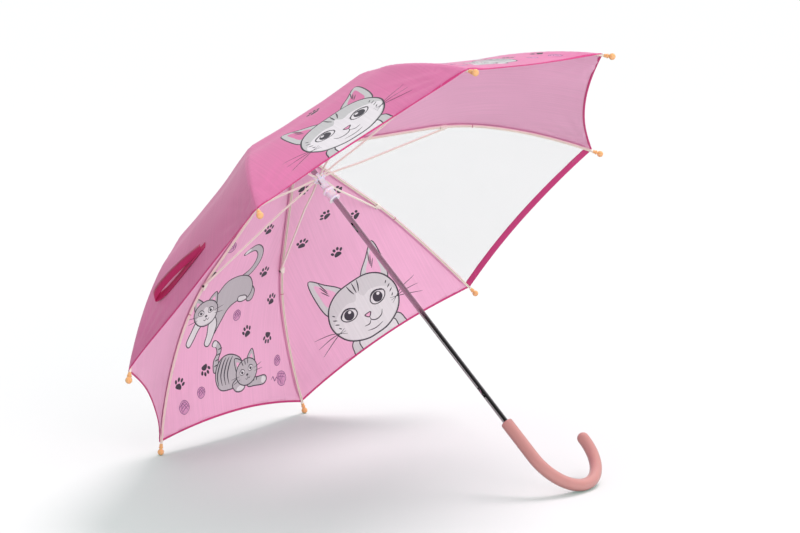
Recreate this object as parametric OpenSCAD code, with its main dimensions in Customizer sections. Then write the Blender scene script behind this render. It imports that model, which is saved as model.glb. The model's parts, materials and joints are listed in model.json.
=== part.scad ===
// Child's stick umbrella, open, lying on two rib tips and the bend of its crook handle.
// Everything is drawn in the umbrella's own frame: +Z up the shaft to the ferrule, z = 0 in
// the plane of the rib tips. module placed() then lays the whole object down on the floor.

/* [Canopy frame] */
// Length of the straight inner part of a rib
rib_straight = 190; // [170:1:200]
// Length of the first bend of a rib
rib_bend = 100; // [90:1:110]
// Length of the outer bend of a rib
rib_outer = 158; // [150:1:165]
// Slope of a rib below horizontal at the crown, degrees
slope_in = 14.5; // [13:0.5:16]
// Slope of a rib after the first bend, degrees
slope_mid = 33; // [31:0.5:35]
// Slope of a rib at its tip, degrees
slope_tip = 50; // [48:0.5:52]
// Distance along the rib from the crown pivot to the stretcher joint
joint_at = 215; // [205:1:225]
// Width of a rib across
rib_w = 3; // [2.6:0.1:3.2]
// Thickness of a rib
rib_t = 2.6; // [2.2:0.1:2.8]
// Diameter of the ball on each rib tip
tip_d = 8.8; // [8:0.1:10]

/* [Shaft] */
// Outer diameter of the steel tube
shaft_d = 7.4; // [7:0.1:7.6]
// Inner diameter of the steel tube
shaft_bore = 6.2; // [6:0.1:6.4]
// Height of the ferrule's end above the tip plane
ferrule_top = 229; // [227:1:235]
// Height of the runner's stretcher pivots above the tip plane
runner_at = 143.5; // [140:0.5:146]
// Distance of the upper catch above the tip plane
top_catch_at = 56; // [40:1:70]
// Distance of the lower catch below the tip plane
low_catch_at = 226.5; // [226:0.5:228]

/* [Handle] */
// Distance of the handle's collar end below the tip plane
handle_at = 276; // [270:1:285]
// Straight length of the handle before the hook
handle_straight = 57; // [50:1:64]
// Centre line radius of the hook
hook_r = 60; // [54:1:66]
// Diameter of the handle
handle_d = 16; // [15:0.5:18]
// Sweep of the hook, degrees
hook_sweep = 180; // [170:1:180]

/* [Cover] */
// Thickness of a cover panel
skin_t = 0.8; // [0.6:0.1:1]
// Height of the cover's middle surface over the rib centre line
skin_lift = 3; // [2.8:0.1:3.4]
// How far the hem is scooped in between two tips
hem_scoop = 16; // [8:1:24]
// How far a panel sinks between two ribs at the hem
panel_sag = 8; // [4:1:10]

/* [Hidden] */
$fn = 48;
n_ribs = 8;
step_a = 360 / n_ribs;
hub_r = 8;              // radius of the rib pivots at the crown
ring_r = 7.5;           // radius of the stretcher pivots at the runner
joint_drop = 1.2;       // stretcher pivot below the rib centre line
lane = 3.65;            // sideways place of a stretcher beside its rib
eye_r = 1.8;
eye_hole_r = 0.75;
wire_r = 0.45;
rivet_r = 0.9;
slot_w = 2.6;
play = 0.3;             // how much wider than the rib a hole for it is
rib_len = rib_straight + rib_bend + rib_outer;
shaft_r = shaft_d / 2;
tip_r = tip_d / 2;
handle_r = handle_d / 2;

// Offset made by an arc that turns from slope a to slope b over a length
function arc_by(a, b, len) =
    let (rho = len / ((b - a) * PI / 180)) [rho * (sin(b) - sin(a)), rho * (cos(b) - cos(a))];
// Slope of the rib below horizontal at a distance along it
function slope(s) =
    s <= rib_straight ? slope_in
    : s <= rib_straight + rib_bend
        ? slope_in + (slope_mid - slope_in) * (s - rib_straight) / rib_bend
        : slope_mid + (slope_tip - slope_mid) * (s - rib_straight - rib_bend) / rib_outer;
// Radius and drop of the rib centre line at a distance along it
function drop_pt(s) =
    s <= rib_straight ? [hub_r + s * cos(slope_in), -s * sin(slope_in)]
    : s <= rib_straight + rib_bend
        ? drop_pt(rib_straight) + arc_by(slope_in, slope(s), s - rib_straight)
        : drop_pt(rib_straight + rib_bend) + arc_by(slope_mid, slope(s), s - rib_straight - rib_bend);
crown_at = -drop_pt(rib_len)[1];    // height of the rib pivots, so that the tips are at z = 0
// Radius and height of a point at a distance along the rib and a lift off its centre line
function rib_pt(s, lift = 0) =
    drop_pt(s) + [0, crown_at] + lift * [sin(slope(s)), cos(slope(s))];

tip_radius = rib_pt(rib_len)[0];
joint_pt = rib_pt(joint_at, -joint_drop);
stretch_run = joint_pt - [ring_r, runner_at];
stretcher_len = norm(stretch_run);
stretcher_rise = atan2(stretch_run[1], stretch_run[0]);

// The cover: its lift grows near the crown, where it passes over the crown piece
skin_from = 3;
skin_to = rib_len - 13;
seam_gap = 0.4;         // half the gap between neighbouring panels
function skin_off(s) = skin_lift + 3 * exp(-s / 18);
// A point of panel 1, between the ribs at azimuth 0 and -step_a; u runs across it
function skin_pt(s, u, lift) =
    let (p = rib_pt(s, skin_off(s)),
         edge = [p[0] * cos(step_a) - p[0], -p[0] * sin(step_a)],
         bow = 4 * u * (1 - u),
         sink = lift - panel_sag * bow * pow(s / rib_len, 1.5),
         out = sink * sin(slope(s)))
    [p[0] + u * edge[0] + out * cos(step_a / 2),
     u * edge[1] - out * sin(step_a / 2),
     p[1] + sink * cos(slope(s))];
function skin_end(u) = skin_to - hem_scoop * 4 * u * (1 - u);

// Resting place: the lean at which tips 1 and 2 and the hook's bend share one plane
hook_low = handle_at + handle_straight + hook_r;
tip_row = tip_radius * cos(step_a / 2);
lean = acos((tip_r - handle_r) / norm([hook_low, tip_row])) - atan2(tip_row, hook_low);
lay_z = hook_low * cos(lean) + handle_r;
x_hook = hook_low * sin(lean) + handle_r;
x_cover = min([for (s = [0 : 8 : rib_len])
    -rib_pt(s, skin_lift)[0] * cos(step_a / 2) * cos(lean) - rib_pt(s, skin_lift)[1] * sin(lean)]);
lay_x = -(x_hook + x_cover) / 2;

module placed() {
    translate([lay_x, 0, lay_z]) rotate([0, -lean, 0]) rotate([0, 0, 180 + step_a / 2]) children();
}
// Puts a piece drawn in the X-Z plane at rib number k, counted from 1
module at_rib(k) {
    placed() rotate([0, 0, -step_a * (k - 1)]) children();
}

// ---- Shaft, handle and the pieces fixed to them ----

catch_a = 180 - step_a * 2.5;       // azimuth of the catches, opposite the hook
catch_slot = 16;                    // length of the slot that a catch looks out of
tube_end = handle_at + 38;
tube_top = ferrule_top - 11;

module shaft() {
    color("silver") placed() difference() {
        translate([0, 0, -tube_end]) cylinder(r = shaft_r, h = tube_end + tube_top);
        translate([0, 0, -tube_end - 1]) cylinder(d = shaft_bore, h = tube_end + tube_top + 2);
        for (z = [top_catch_at, -low_catch_at])
            rotate([0, 0, catch_a]) translate([0, -1.2, z - catch_slot / 2]) cube([9, 2.4, catch_slot]);
    }
}

module hook_bend() {
    translate([hook_r, 0, -handle_at - handle_straight]) rotate([90, 180, 0])
        rotate_extrude(angle = hook_sweep) translate([hook_r, 0]) circle(r = handle_r);
}
module handle() {
    end_a = hook_sweep - 180;
    color("salmon") placed() rotate([0, 0, -step_a * 2.5]) difference() {
        union() {
            translate([0, 0, -handle_at - handle_straight]) rotate_extrude()
                polygon([[0, 0], [handle_r, 0], [handle_r, handle_straight - 2.4],
                    [handle_r - 0.7, handle_straight - 0.7], [handle_r - 2.4, handle_straight],
                    [0, handle_straight]]);
            hook_bend();
            translate([hook_r * (1 + cos(end_a)), 0,
                -handle_at - handle_straight + hook_r * sin(end_a)]) sphere(r = handle_r);
        }
        translate([0, 0, -tube_end]) cylinder(r = shaft_r, h = tube_end);
    }
}

module ferrule_cap() {
    foot = crown_at + 9;
    color("sandybrown") placed() difference() {
        translate([0, 0, foot]) rotate_extrude()
            polygon(concat([[0, 0], [9, 0], [9, 1.6], [5.8, 4]],
                [for (a = [0 : 15 : 90]) [5.8 * cos(a), ferrule_top - foot - 5.8 + 5.8 * sin(a)]]));
        translate([0, 0, foot - 1]) cylinder(r = shaft_r, h = tube_top - foot + 1);
    }
}

// A notched ring that holds eight ends on a ring of wire
module notched_ring(at, r_out, r_pivot, up, down) {
    difference() {
        translate([0, 0, at - down]) cylinder(r = r_out, h = up + down);
        translate([0, 0, at - wire_r]) difference() {
            cylinder(r = r_pivot + wire_r, h = up + 1);
            translate([0, 0, -1]) cylinder(r = r_pivot - wire_r, h = up + 3);
        }
        for (k = [1 : n_ribs]) rotate([0, 0, -step_a * (k - 1)])
            translate([r_pivot - eye_r - 0.3, -slot_w / 2, at - down - 1]) cube([9, slot_w, up + down + 2]);
    }
}
module wire_ring(at, r_pivot) {
    translate([0, 0, at]) rotate_extrude($fn = 64) translate([r_pivot, 0]) circle(r = wire_r, $fn = 16);
}

module crown() {
    color("white") placed() difference() {
        notched_ring(crown_at, hub_r + 2, hub_r, 3, 4);
        translate([0, 0, crown_at - 9]) cylinder(r = shaft_r, h = 18);
    }
}
module crown_wire() {
    color("silver") placed() wire_ring(crown_at, hub_r);
}
module rosette() {
    color("hotpink") placed() translate([0, 0, crown_at + 7.4]) difference() {
        cylinder(r1 = 17, r2 = 16.4, h = 0.8);
        translate([0, 0, -1]) cylinder(r = shaft_r, h = 3);
    }
}

// ---- Runner ----

module runner() {
    neck_h = 18;
    grip_h = 17;
    low = 3 + neck_h + grip_h;
    color("lavender") placed() difference() {
        union() {
            notched_ring(runner_at, ring_r + 1.6, ring_r, 3.5, 3);
            translate([0, 0, runner_at - low]) rotate_extrude() polygon([[0, 0], [7.9, 0], [8.6, 0.7],
                [8.6, 2.3], [7.9, 3], [6.8, 3.4], [6.8, grip_h - 3.4], [7.9, grip_h - 3],
                [8.6, grip_h - 2.3], [8.6, grip_h - 0.7], [7.9, grip_h], [5.6, grip_h + 1.2],
                [5.6, low - 3], [0, low - 3]]);
        }
        translate([0, 0, runner_at - low - 1]) cylinder(r = shaft_r + 0.3, h = low + 9);
        rotate([0, 0, catch_a]) translate([0, -1.7, runner_at - 11.6]) cube([12, 3.4, 8]);
    }
}
module runner_wire() {
    color("silver") placed() wire_ring(runner_at, ring_r);
}

// ---- Spring catches inside the tube ----

// A bent leaf, rooted 24 mm from its nose; side = 1 holds from below, -1 from above
module catch_leaf(at, side) {
    placed() rotate([0, 0, catch_a]) translate([0, 0.8, at]) rotate([90, 0, 0]) linear_extrude(1.6)
        scale([1, side]) polygon([[1.4, -24], [2.1, -24], [2.1, -6], [3, -4], [5.8, 2.4], [5.8, 3],
            [2.1, 3], [2.1, 5], [1.4, 5]]);
}
module top_catch() {
    color("silver") catch_leaf(top_catch_at, 1);
}
module bottom_catch() {
    color("silver") catch_leaf(-low_catch_at, -1);
}

// ---- Ribs and what is fixed to them ----

// The rib's side view between two places along it, as thick as t
module rib_side(from, to, t) {
    n = 26;
    run = [for (i = [0 : n]) from + (to - from) * i / n];
    polygon(concat([for (s = run) rib_pt(s, t / 2)],
        [for (i = [n : -1 : 0]) rib_pt(run[i], -t / 2)]));
}
module rib_bar(from, to, w, t) {
    rotate([90, 0, 0]) translate([0, 0, -w / 2]) linear_extrude(w) rib_side(from, to, t);
}
// Moves a piece to a place on the rib; its X then runs outwards along the rib
module on_rib(s, lift = 0) {
    p = rib_pt(s, lift);
    translate([p[0], 0, p[1]]) rotate([0, slope(s), 0]) children();
}

module rib(k) {
    color("ivory") at_rib(k) difference() {
        union() {
            rib_bar(6, rib_len - 2, rib_w, rib_t);
            on_rib(0) translate([0, -1, -eye_r * 0.6]) cube([7, 2, eye_r * 1.2]);
            on_rib(0) rotate([90, 0, 0]) cylinder(r = eye_r, h = 2, center = true);
        }
        on_rib(0) rotate([90, 0, 0]) cylinder(r = eye_hole_r, h = 4, center = true);
        // the hollow underside of the channel
        rotate([90, 0, 0]) translate([0, 0, -0.9]) linear_extrude(1.8)
            translate([-0.8 * sin(slope_mid), -0.8 * cos(slope_mid)])
                rib_side(8, rib_len - 13, rib_t);
    }
}

module tip(k) {
    color("sandybrown") at_rib(k) difference() {
        on_rib(rib_len) union() {
            sphere(r = tip_r);
            rotate([0, -90, 0]) cylinder(r = 2.4, h = 11);
        }
        rib_bar(rib_len - 12, rib_len - 2 + play, rib_w + play, rib_t + play);
    }
}

module rib_clip(k) {
    color("ivory") at_rib(k) difference() {
        on_rib(joint_at) translate([-5, -rib_w / 2 - 0.8, -rib_t / 2 - 1.6])
            cube([10, rib_w + 1.6, rib_t + 2.1]);
        rib_bar(joint_at - 8, joint_at + 8, rib_w + play, rib_t + play);
    }
}

module stretcher(k) {
    bend_from = 25;
    bend_to = 60;
    w = 2;
    end = stretcher_len;
    color("ivory") at_rib(k) translate([ring_r, 0, runner_at]) rotate([0, -stretcher_rise, 0])
        difference() {
            union() {
                translate([0, 0, -1.1]) linear_extrude(2.2) polygon([[0, -w / 2], [bend_from, -w / 2],
                    [bend_to, lane - w / 2], [end, lane - w / 2], [end, lane + w / 2],
                    [bend_to, lane + w / 2], [bend_from, w / 2], [0, w / 2]]);
                rotate([90, 0, 0]) cylinder(r = eye_r, h = w, center = true);
                translate([end, lane, 0]) rotate([90, 0, 0]) cylinder(r = eye_r + 0.2, h = w, center = true);
            }
            rotate([90, 0, 0]) cylinder(r = eye_hole_r, h = 9, center = true);
            translate([end, lane, 0]) rotate([90, 0, 0]) cylinder(r = rivet_r, h = 4, center = true);
        }
}

module rivet(k) {
    color("dimgray") at_rib(k) translate([joint_pt[0], lane, joint_pt[1]]) rotate([-90, 0, 0]) {
        translate([0, 0, -1]) cylinder(r = rivet_r, h = 2);
        translate([0, 0, 1]) rotate_extrude() polygon([[0, 0], [1.8, 0], [1.5, 0.6], [0.8, 0.9], [0, 0.9]]);
    }
}

// ---- Cover ----

module panel(k) {
    nu = 10;
    nv = 14;
    us = [for (i = [0 : nu]) i / nu];
    row = nu + 1;
    // each layer is a grid of points; panels keep a small gap along the ribs
    function edge_u(u, s) = let (g = seam_gap / (rib_pt(s)[0] * step_a * PI / 180)) g + u * (1 - 2 * g);
    function layer(lift) = [for (j = [0 : nv], u = us)
        let (s = skin_from + (skin_end(u) - skin_from) * j / nv) skin_pt(s, edge_u(u, s), lift)];
    n = row * (nv + 1);
    top = [for (j = [0 : nv - 1], i = [0 : nu - 1]) let (a = j * row + i)
        each [[a, a + row, a + 1], [a + 1, a + row, a + row + 1]]];
    low = [for (t = top) [t[0] + n, t[2] + n, t[1] + n]];
    rim = concat([for (i = [0 : nu - 1]) i], [for (j = [0 : nv - 1]) j * row + nu],
        [for (i = [nu : -1 : 1]) nv * row + i], [for (j = [nv : -1 : 1]) j * row]);
    m = len(rim);
    side = [for (i = [0 : m - 1]) let (a = rim[i], b = rim[(i + 1) % m])
        each [[a, b, b + n], [a, b + n, a + n]]];
    color(k == 3 ? "whitesmoke" : "hotpink") at_rib(k)
        polyhedron(concat(layer(skin_t / 2), layer(-skin_t / 2)), concat(top, low, side));
}

// ---- Closing strap on panel 7 ----

strap_s = 355;          // distance along the ribs at which the strap lies
strap_w = 11;
module strap() {
    us = [for (i = [0 : 6]) 0.44 + 0.41 * i / 6];
    lift = [3.2, 5, 7, 8, 8, 7, 4];
    function ring(i) = let (s = strap_s, h = skin_t / 2 + lift[i] + (i == 0 ? -2 : 0)) [
        skin_pt(s - strap_w / 2, us[i], 1.4), skin_pt(s + strap_w / 2, us[i], 1.4),
        skin_pt(s + strap_w / 2, us[i], h), skin_pt(s - strap_w / 2, us[i], h)];
    pts = [for (i = [0 : 6]) each ring(i)];
    sides = [for (i = [0 : 5], j = [0 : 3]) let (a = 4 * i + j, b = 4 * i + (j + 1) % 4)
        each [[a, b, b + 4], [a, b + 4, a + 4]]];
    color("deeppink") at_rib(7)
        polyhedron(pts, concat(sides, [[0, 3, 2], [0, 2, 1], [24, 25, 26], [24, 26, 27]]));
}
module strap_snap() {
    p = skin_pt(strap_s, 0.6, skin_t / 2 + 8.6);
    color("silver") at_rib(7) translate(p) rotate([0, 0, -step_a * 0.6]) rotate([0, slope(strap_s), 0])
        translate([0, 0, -0.2]) cylinder(r = 3.6, h = 1.6);
}

shaft();
handle();
ferrule_cap();
crown();
crown_wire();
rosette();
runner();
runner_wire();
top_catch();
bottom_catch();
strap();
strap_snap();
for (k = [1 : n_ribs]) {
    rib(k);
    tip(k);
    rib_clip(k);
    stretcher(k);
    rivet(k);
    panel(k);
}
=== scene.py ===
import json
import math

import bmesh
import bpy
import numpy as np
from mathutils import Matrix, Vector, noise
from mathutils.geometry import delaunay_2d_cdt


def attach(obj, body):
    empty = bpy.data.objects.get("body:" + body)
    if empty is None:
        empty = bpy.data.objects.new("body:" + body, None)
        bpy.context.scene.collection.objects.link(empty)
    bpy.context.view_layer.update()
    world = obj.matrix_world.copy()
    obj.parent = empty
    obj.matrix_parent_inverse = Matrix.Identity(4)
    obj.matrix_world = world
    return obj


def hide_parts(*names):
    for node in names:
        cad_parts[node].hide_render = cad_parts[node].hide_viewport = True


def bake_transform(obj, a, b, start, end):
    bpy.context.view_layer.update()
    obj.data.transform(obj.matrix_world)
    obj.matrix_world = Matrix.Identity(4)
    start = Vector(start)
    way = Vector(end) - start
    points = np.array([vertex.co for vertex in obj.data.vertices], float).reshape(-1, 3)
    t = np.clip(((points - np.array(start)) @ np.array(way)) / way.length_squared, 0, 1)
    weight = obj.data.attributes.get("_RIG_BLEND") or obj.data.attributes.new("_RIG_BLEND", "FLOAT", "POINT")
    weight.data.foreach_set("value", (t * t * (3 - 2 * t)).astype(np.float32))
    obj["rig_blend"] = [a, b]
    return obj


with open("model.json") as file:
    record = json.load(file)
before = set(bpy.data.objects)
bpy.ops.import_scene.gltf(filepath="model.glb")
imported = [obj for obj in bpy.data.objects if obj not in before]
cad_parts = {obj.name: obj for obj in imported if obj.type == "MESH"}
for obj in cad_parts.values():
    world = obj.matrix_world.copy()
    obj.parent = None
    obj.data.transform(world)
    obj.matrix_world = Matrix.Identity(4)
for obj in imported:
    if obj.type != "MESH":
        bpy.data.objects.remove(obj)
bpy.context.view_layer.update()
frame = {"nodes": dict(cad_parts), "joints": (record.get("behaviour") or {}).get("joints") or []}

mm = 0.001
scene = bpy.context.scene
ribCount = 8
stepAngle = math.radians(360 / ribCount)

# places taken from the frame
joints = {j["name"]: j for j in frame["joints"]}
pivots = [Vector(joints[f"rib_{k}_fold"]["pos_m"]) for k in range(1, ribCount + 1)]
crown = sum(pivots, Vector()) / ribCount
upShaft = Vector(joints["runner_slide"]["axis"]).normalized()


def ribAxes(k):
    # outward and sideways directions of rib k
    side = Vector(joints[f"rib_{(k - 1) % ribCount + 1}_fold"]["axis"]).normalized()
    return side.cross(upShaft), side


# camera
camera = {
    "aim": (-0.0187, 0.0446, 0.2596),
    "distance": 3.06,
    "azimuth": -36.56,
    "elevation": 10.06,
    "roll": 0.6,
    "lens": 103.52,
}


def addCamera():
    turn, rise, roll = (math.radians(camera[n]) for n in ("azimuth", "elevation", "roll"))
    ahead = Vector((math.sin(turn) * math.cos(rise), math.cos(turn) * math.cos(rise), -math.sin(rise)))
    right = Vector((math.cos(turn), -math.sin(turn), 0))
    up = right.cross(ahead)
    tilted = right * math.cos(roll) + up * math.sin(roll)
    up = tilted.cross(ahead)
    data = bpy.data.cameras.new("camera")
    data.lens = camera["lens"]
    data.clip_end = 60
    body = bpy.data.objects.new("camera", data)
    body.matrix_world = Matrix((tilted, up, -ahead)).transposed().to_4x4()
    body.location = Vector(camera["aim"]) - ahead * camera["distance"]
    scene.collection.objects.link(body)
    scene.camera = body


addCamera()
print("camera placed")

# canopy shape, in millimetres
canopy = {
    "straight": 190,        # inner straight of a rib
    "bend": 100,            # first bend
    "outer": 158,           # outer bend
    "slopes": (14.5, 33, 50),
    "hub": 8,               # pivot radius at the crown
    "lift": 3,              # cover above the rib's middle
    "crownLift": 3,         # more of it near the crown
    "crownFade": 18,
    "sag": 8,               # sink of a panel between two ribs at the hem
    "from": 3,              # where the cloth begins, from the crown
    "cutBack": 13,          # hem corner short of the rib's end
    "scoop": {3: 12, 8: 14},
    "usualScoop": 16,
    "cloth": 0.3,           # thickness shown
}
ribLen = canopy["straight"] + canopy["bend"] + canopy["outer"]
skinTo = ribLen - canopy["cutBack"]
halfStep = stepAngle / 2


def slopeAt(s):
    # slope of the rib below level, in radians, at a distance along it
    stops = (canopy["straight"], canopy["straight"] + canopy["bend"], ribLen)
    return np.radians(np.interp(s, stops, canopy["slopes"]))


def ribDrop(s):
    # radius and drop of the rib's middle line
    a, b, c = np.radians(canopy["slopes"])
    inner = np.minimum(s, canopy["straight"])
    r = canopy["hub"] + inner * np.cos(a)
    z = -inner * np.sin(a)
    for begin, length, low, high in (
        (canopy["straight"], canopy["bend"], a, b),
        (canopy["straight"] + canopy["bend"], canopy["outer"], b, c),
    ):
        run = np.clip(s - begin, 0, length)
        rho = length / (high - low)
        turn = low + run / rho
        r = r + rho * (np.sin(turn) - np.sin(low))
        z = z + rho * (np.cos(turn) - np.cos(low))
    return r, z


def onRib(s, across, lift):
    # points beside rib k in its own frame: outward, sideways, up from the crown
    s, across, lift = np.broadcast_arrays(np.asarray(s, float), across, lift)
    r, z = ribDrop(s)
    a = slopeAt(s)
    return np.stack((r + lift * np.sin(a), across + 0 * r, z + lift * np.cos(a)), -1)


def skinOff(s):
    return canopy["lift"] + canopy["crownLift"] * np.exp(-s / canopy["crownFade"])


def halfChord(s):
    # half the straight distance between two neighbouring seams
    r, _ = ribDrop(s)
    return (r + skinOff(s) * np.sin(slopeAt(s))) * math.sin(halfStep)


def onSkin(s, u, lift):
    # points of a panel in the frame of its first rib; u runs from that rib to the next
    s, u, lift = np.broadcast_arrays(np.asarray(s, float), u, lift)
    p = onRib(s, 0, skinOff(s))
    a = slopeAt(s)
    edge = -2 * p[..., 0] * math.sin(halfStep)
    bow = 4 * u * (1 - u)
    sink = lift - canopy["sag"] * bow * np.power(s / ribLen, 1.5)
    out = sink * np.sin(a)
    x = p[..., 0] + u * edge * math.sin(halfStep) + out * math.cos(halfStep)
    y = u * edge * math.cos(halfStep) - out * math.sin(halfStep)
    return np.stack((x, y, p[..., 2] + sink * np.cos(a)), -1)


def hemEnd(k, u):
    return skinTo - canopy["scoop"].get(k, canopy["usualScoop"]) * 4 * u * (1 - u)


def toRow(k, points):
    # points in the frame of rib k, in millimetres, as places in the row frame, in metres
    out, side = ribAxes(k)
    axes = np.array([out, side, upShaft])
    return np.array(crown) + np.asarray(points) @ axes * mm


crease = {                      # height first, then reach
    "seam": (1.0, 2.4),         # the valley along a seam
    "pucker": (0.16, 8),        # puckers beside it
    "fold": (1.0, 22, 80, 7),   # fanning out from a tip: height, start, end, gap to the seam
    "crown": (0.3, 70),
    "slow": (1.1, 55, 25),      # unevenness: height, length, distance from a seam
}


def wrinkle(k, s, u):
    # how far the cloth stands off its smooth shape: seams, puckers, folds from the tips
    seamDepth, seamReach = crease["seam"]
    puckerHeight, puckerReach = crease["pucker"]
    foldHeight, foldStart, foldEnd, foldClear = crease["fold"]
    crownHeight, crownReach = crease["crown"]
    slowHeight, slowLength, slowEdge = crease["slow"]
    width = 2 * halfChord(s)
    total = np.zeros_like(s)
    for side, e in ((0, u * width), (1, (1 - u) * width)):
        rib = k + side
        dip = np.exp(-(e / seamReach) ** 2)
        total -= seamDepth * dip
        pucker = np.sin(s * 0.62 + rib * 1.7) + 0.6 * np.sin(s * 0.37 + rib)
        total += puckerHeight * pucker * np.exp(-(e / puckerReach) ** 2) * (1 - dip)
        d = np.hypot(skinTo - s, e)
        angle = np.arctan2(e, skinTo - s + 1e-6)
        folds = np.sin(angle * 17 + rib * 2.1) + 0.5 * np.sin(angle * 31 + rib)
        clear = 1 - np.exp(-(e / foldClear) ** 2)
        fan = np.exp(-(d / foldEnd) ** 2) * (1 - np.exp(-(d / foldStart) ** 2))
        total += foldHeight * folds * fan * clear
        top = np.hypot(s, e * 1.6)
        total += crownHeight * np.sin(angle * 43 + rib) * np.exp(-(top / crownReach) ** 2) * (1 - dip)
    free = np.clip(np.minimum(u, 1 - u) * width / slowEdge, 0, 1)
    slow = np.array([noise.noise(Vector((a / slowLength, b * 3.1, k * 7.3))) for a, b in zip(s, u)])
    return total + slowHeight * slow * free


def ripple(k, s, u):
    # the film of panel 3 is stiffer, so it ripples less away from its seams
    if k != 3:
        return wrinkle(k, s, u)
    away = np.minimum(u, 1 - u) * 2 * halfChord(s)
    return wrinkle(k, s, u) * (0.5 + 0.5 * np.exp(-(away / 6) ** 2))


# how far the cloth stands proud of ribs 6 to 8: along most of the rib, and at its first bend
puffs = {6: (5.2, 5.5), 7: (4.2, 6.0), 8: (5.4, 5.0)}
puffRun = {"starts": 40, "full": 150, "eases": 270, "ends": 400, "bend": 214, "bendReach": 26}


def puffAt(rib, s):
    low, high = puffs.get((rib - 1) % ribCount + 1, (0, 0))
    swell = np.clip((s - puffRun["starts"]) / (puffRun["full"] - puffRun["starts"]), 0, 1) ** 1.5
    ease = np.clip((puffRun["ends"] - s) / (puffRun["ends"] - puffRun["eases"]), 0, 1) ** 1.5
    return low * swell * ease + high * np.exp(-((s - puffRun["bend"]) / puffRun["bendReach"]) ** 2)


def puffOut(k, s, u):
    # the same puff on both sides of a seam, square to the rib there
    height = puffAt(k, s) * (1 - u) + puffAt(k + 1, s) * u
    a = slopeAt(s)
    turn = u * stepAngle
    out = height * np.sin(a)
    return np.stack((out * np.cos(turn), -out * np.sin(turn), height * np.cos(a)), -1)


def followPanel(piece, k):
    # piece bends with panel k: each point follows rib k or the next by its place between them
    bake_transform(piece, f"rib_{k}", f"panel_{k}", start=pivots[k - 1], end=pivots[k % ribCount])
    out, side = ribAxes(k)
    co = np.array([v.co for v in piece.data.vertices]) - np.array(crown)
    share = np.arctan2(-(co @ np.array(side)), co @ np.array(out)) / stepAngle
    piece.data.attributes["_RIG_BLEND"].data.foreach_set("value", np.clip(share, 0, 1).astype(np.float32))


def addMesh(name, points, faces, smooth=True):
    data = bpy.data.meshes.new(name)
    data.from_pydata([tuple(p) for p in points], [], [tuple(int(i) for i in f) for f in faces])
    data.polygons.foreach_set("use_smooth", [smooth] * len(faces))
    data.update()
    piece = bpy.data.objects.new(name, data)
    scene.collection.objects.link(piece)
    return piece


# materials
def shade(hexColour):
    # a colour written as on a screen, in the numbers that the shader wants
    channels = [int(hexColour[i:i + 2], 16) / 255 for i in (0, 2, 4)]
    return tuple(c / 12.92 if c <= 0.04045 else ((c + 0.055) / 1.055) ** 2.4 for c in channels) + (1,)


def newGroup(name, inputs, outputs):
    # a group with inputs from a dictionary of first values, and numbers as outputs
    group = bpy.data.node_groups.new(name, "ShaderNodeTree")
    for label, value in inputs.items():
        kind = "NodeSocketVector" if isinstance(value, tuple) else "NodeSocketFloat"
        made = group.interface.new_socket(label, in_out="INPUT", socket_type=kind)
        made.default_value = value
    for label in outputs:
        group.interface.new_socket(label, in_out="OUTPUT", socket_type="NodeSocketFloat")
    return group, group.nodes.new("NodeGroupInput"), group.nodes.new("NodeGroupOutput")


def feed(tree, node, values):
    # gives a node its inputs: a socket is linked, and anything else is a fixed value
    for label, value in values.items():
        if hasattr(value, "is_output"):
            tree.links.new(value, node.inputs[label])
        else:
            node.inputs[label].default_value = value
    return node


def mathNode(tree, kind, *values):
    node = tree.nodes.new("ShaderNodeMath")
    node.operation = kind
    return feed(tree, node, dict(enumerate(values))).outputs[0]


def vectorMath(tree, kind, *values):
    node = tree.nodes.new("ShaderNodeVectorMath")
    node.operation = kind
    return feed(tree, node, dict(enumerate(values)))


slub = {"stretch": (420, 9, 1), "depth": 0.22}      # uneven threads: their place scaled, and how much tone


def buildWeave():
    # plain weave: over and under threads, as a height from 0 to 1
    inputs = {"Flat": (0, 0, 0), "Threads": 2000.0}
    group, given, result = newGroup("plainWeave", inputs, ("Height", "Slub"))
    drawn = vectorMath(group, "MULTIPLY", given.outputs["Flat"], slub["stretch"]).outputs["Vector"]
    uneven = group.nodes.new("ShaderNodeTexNoise")
    feed(group, uneven, {"Scale": 1, "Detail": 4, "Vector": drawn})
    swing = mathNode(group, "SUBTRACT", uneven.outputs["Fac"], 0.5)
    thick = mathNode(group, "MULTIPLY", swing, slub["depth"])
    parts = group.nodes.new("ShaderNodeSeparateXYZ")
    group.links.new(given.outputs["Flat"], parts.inputs[0])
    waves = []
    for axis in (0, 1):
        run = mathNode(group, "MULTIPLY", parts.outputs[axis], given.outputs["Threads"])
        waves.append(mathNode(group, "SINE", mathNode(group, "MULTIPLY", run, math.pi)))
    both = mathNode(group, "MULTIPLY", waves[0], waves[1])
    height = mathNode(group, "ADD", mathNode(group, "MULTIPLY", both, 0.5), 0.5)
    feed(group, result, {"Height": height, "Slub": mathNode(group, "ADD", thick, 1)})
    return group


def buildMottle():
    # slow change of tone and fine dust, as a factor near 1 and a roughness change
    inputs = {"Place": (0, 0, 0), "Size": 8.0, "Depth": 0.1}
    group, given, result = newGroup("mottle", inputs, ("Tone", "Fine"))
    for label, detail, factor in (("Tone", 3, 1), ("Fine", 6, 40)):
        field = group.nodes.new("ShaderNodeTexNoise")
        scale = mathNode(group, "MULTIPLY", given.outputs["Size"], factor)
        feed(group, field, {"Vector": given.outputs["Place"], "Scale": scale, "Detail": detail})
        swing = mathNode(group, "SUBTRACT", field.outputs["Fac"], 0.5)
        swing = mathNode(group, "MULTIPLY", swing, given.outputs["Depth"])
        feed(group, result, {label: mathNode(group, "ADD", swing, 1)})
    return group


weave = buildWeave()
mottle = buildMottle()


def startMaterial(name, roughness=0.5):
    material = bpy.data.materials.new(name)
    material.use_nodes = True
    shader = material.node_tree.nodes["Principled BSDF"]
    shader.inputs["Roughness"].default_value = roughness
    return material, material.node_tree, shader


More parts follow.
